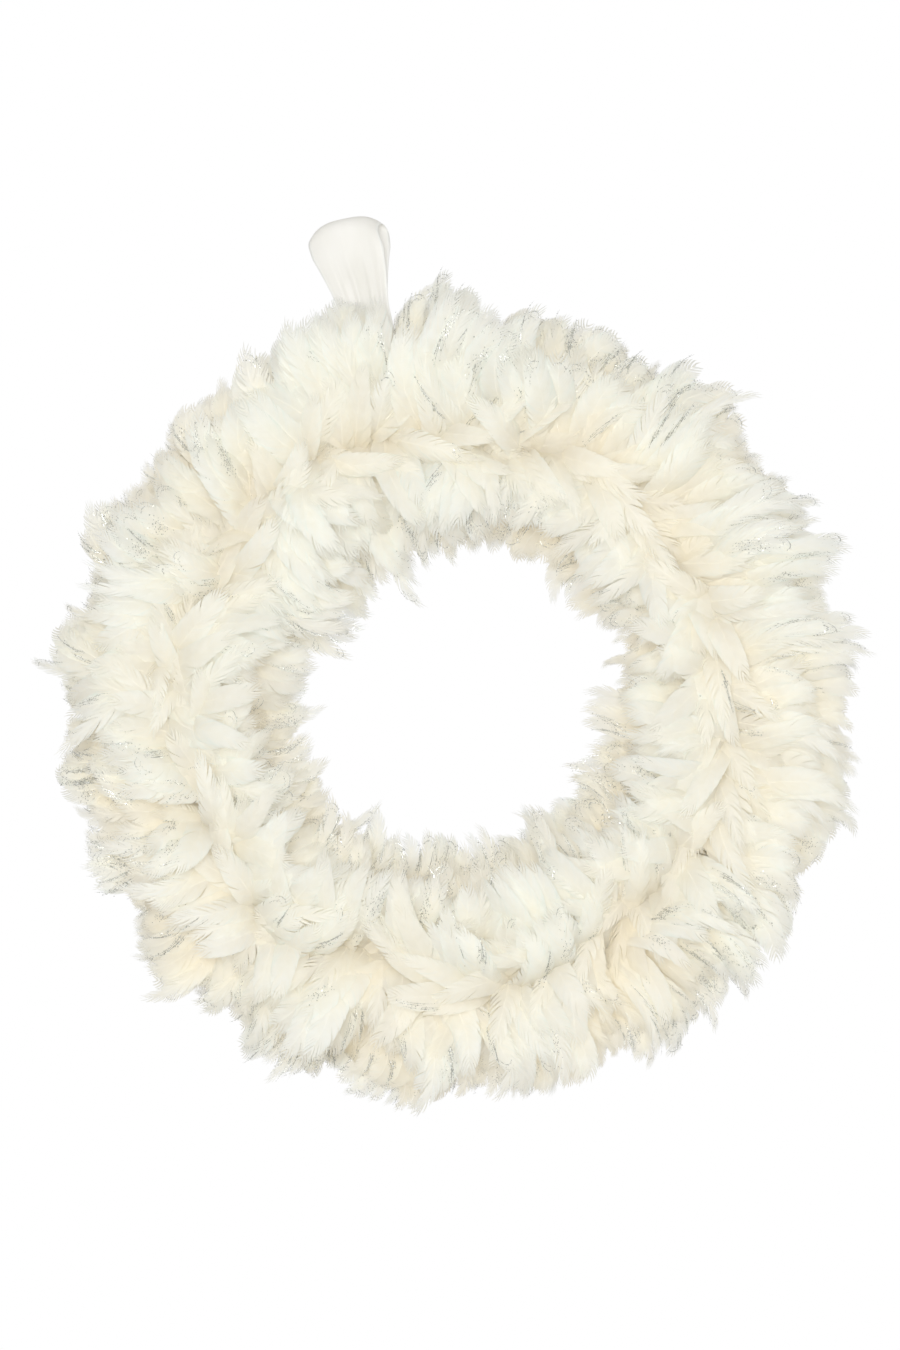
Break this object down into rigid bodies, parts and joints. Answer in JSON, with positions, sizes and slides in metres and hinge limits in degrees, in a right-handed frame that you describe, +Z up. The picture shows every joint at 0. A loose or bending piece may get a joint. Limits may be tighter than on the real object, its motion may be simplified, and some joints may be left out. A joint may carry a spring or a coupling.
{
  "type": "feather wreath",
  "caption": "Round feather wreath on a half-round ring form with an open centre and a ribbon loop that folds, hung flat against a wall or door.",
  "frame": {"origin": "the point inside the hanging loop's fold that bears on the hook", "axes": "+Z up, +X to the right, the front of the wreath faces -Y and the wall is on the +Y side"},
  "size_m": [0.411, 0.078, 0.4563],
  "materials": {
    "foam": "beaded white foam",
    "cotton": "plain weave, natural",
    "felt": "pressed felt",
    "ribbon": "fine semi-sheer satin weave",
    "feather": "soft cream feather with silver glitter on tips and rims"
  },
  "bodies": {
    "wreath": {"foam_form": "foam", "form_wrap": "cotton", "felt_backing": "felt", "ribbon_band": "ribbon", "tape_outer_back": "cotton", "tape_outer_side": "cotton", "tape_outer_front": "cotton", "tape_outer_crest": "cotton", "tape_inner_crest": "cotton", "tape_inner_front": "cotton", "tape_inner_side": "cotton", "tape_inner_back": "cotton", "feathers_outer_back": "feather", "feathers_outer_side": "feather", "feathers_outer_front": "feather", "feathers_outer_crest": "feather", "feathers_inner_crest": "feather", "feathers_inner_front": "feather", "feathers_inner_side": "feather", "feathers_inner_back": "feather"},
    "hanger": {"hanging_loop": "ribbon"}
  },
  "joints": [
    {"name": "hanger_fold", "type": "hinge", "parent": "wreath", "child": "hanger", "pos_m": [0, 0, -0.0405], "axis": [1, 0, 0], "range_deg": [-80, 80]}
  ]
}
